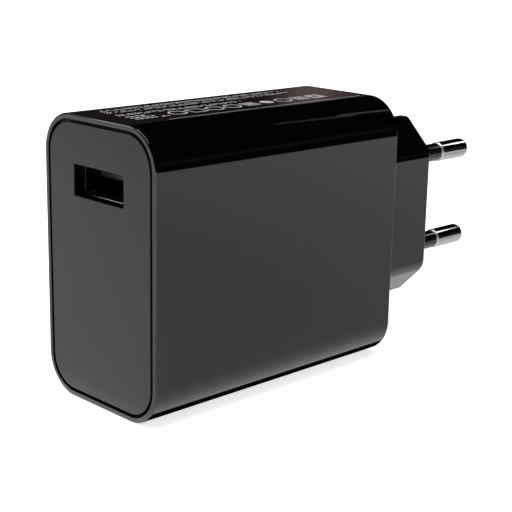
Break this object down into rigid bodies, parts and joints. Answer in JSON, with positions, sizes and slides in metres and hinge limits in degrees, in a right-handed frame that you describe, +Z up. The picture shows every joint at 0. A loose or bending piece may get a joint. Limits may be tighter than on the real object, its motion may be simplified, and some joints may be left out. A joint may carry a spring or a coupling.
{
  "type": "usb wall charger",
  "caption": "Slim upright USB wall charger: rounded box case, inset front cover with a USB-A port, and a flat two-pin European plug with sleeved pins.",
  "frame": {"origin": "centre of the plug's engagement face, midway between the two pins", "axes": "+Y along the pins into the wall, so -Y faces the USB port; +X right seen from the port side; +Z up, along the tall side"},
  "size_m": [0.029, 0.096, 0.049],
  "materials": {
    "case_plastic": "fine-textured black polycarbonate",
    "cover_plastic": "satin dark grey",
    "label_ink": "printed film",
    "plated_metal": "nickel plated brass",
    "sleeve_plastic": "satin black",
    "inner_plastic": "moulded",
    "spring_brass": "bare",
    "shell_steel": "nickel plated sheet",
    "tongue_plastic": "moulded",
    "contact_gold": "gold flash",
    "board_green": "solder mask",
    "sheet_film": "insulation film",
    "spreader_aluminium": "rolled sheet",
    "pad_rubber": "soft",
    "ferrite": "ground ferrite",
    "bobbin_plastic": "moulded",
    "copper_enamel": "enamelled wire",
    "insulated_wire": "triple insulated wire",
    "yellow_tape": "polyester tape",
    "tinned_lead": "tinned",
    "can_aluminium": "drawn can",
    "capacitor_sleeve": "shrunk sleeve",
    "seal_rubber": "pressed rubber",
    "fuse_plastic": "moulded",
    "yellow_box": "moulded box",
    "green_coating": "epoxy dipped",
    "blue_coating": "epoxy dipped",
    "chip_resin": "moulded resin",
    "chip_ceramic": "fired ceramic"
  },
  "bodies": {
    "charger": {"body_shell": "case_plastic", "front_cover": "cover_plastic", "rating_label": "label_ink", "upper_pin": "plated_metal", "lower_pin": "plated_metal", "upper_pin_sleeve": "sleeve_plastic", "lower_pin_sleeve": "sleeve_plastic", "pin_retainer": "inner_plastic", "upper_mains_blade": "spring_brass", "lower_mains_blade": "spring_brass", "usb_shell": "shell_steel", "usb_insulator": "tongue_plastic", "usb_contact_tails": "contact_gold", "main_board": "board_green", "usb_board": "board_green", "insulation_sheet": "sheet_film", "heat_spreader": "spreader_aluminium", "thermal_pad": "pad_rubber", "transformer_core_upper": "ferrite", "transformer_core_lower": "ferrite", "transformer_bobbin": "bobbin_plastic", "primary_winding": "copper_enamel", "secondary_winding": "insulated_wire", "transformer_tape": "yellow_tape", "transformer_pins": "tinned_lead", "bulk_capacitor_rear": "can_aluminium", "bulk_capacitor_middle": "can_aluminium", "bulk_sleeve_rear": "capacitor_sleeve", "bulk_sleeve_middle": "capacitor_sleeve", "output_capacitor_upper": "can_aluminium", "output_capacitor_lower": "can_aluminium", "capacitor_seals": "seal_rubber", "choke_core": "ferrite", "choke_winding": "copper_enamel", "fuse": "fuse_plastic", "x_capacitor": "yellow_box", "varistor": "green_coating", "y_capacitor": "blue_coating", "optocoupler": "chip_resin", "part_leads": "tinned_lead", "bridge_rectifier": "chip_resin", "controller_chip": "chip_resin", "rectifier_chip": "chip_resin", "protocol_chip": "chip_resin", "chip_resistors": "chip_resin", "chip_capacitors": "chip_ceramic"},
    "power_contact": {"power_contact": "contact_gold"},
    "data_minus_contact": {"data_minus_contact": "contact_gold"},
    "data_plus_contact": {"data_plus_contact": "contact_gold"},
    "ground_contact": {"ground_contact": "contact_gold"}
  },
  "joints": [
    {"name": "power_contact_flex", "type": "hinge", "parent": "charger", "child": "power_contact", "pos_m": [0.0035, -0.06455, 0.01425], "axis": [-1, 0, 0], "range_deg": [0, 5], "stiffness_Nm_per_rad": 0.04},
    {"name": "data_minus_contact_flex", "type": "hinge", "parent": "charger", "child": "data_minus_contact", "pos_m": [0.001, -0.06455, 0.01425], "axis": [-1, 0, 0], "range_deg": [0, 5], "stiffness_Nm_per_rad": 0.04},
    {"name": "data_plus_contact_flex", "type": "hinge", "parent": "charger", "child": "data_plus_contact", "pos_m": [-0.001, -0.06455, 0.01425], "axis": [-1, 0, 0], "range_deg": [0, 5], "stiffness_Nm_per_rad": 0.04},
    {"name": "ground_contact_flex", "type": "hinge", "parent": "charger", "child": "ground_contact", "pos_m": [-0.0035, -0.06455, 0.01425], "axis": [-1, 0, 0], "range_deg": [0, 5], "stiffness_Nm_per_rad": 0.04}
  ]
}
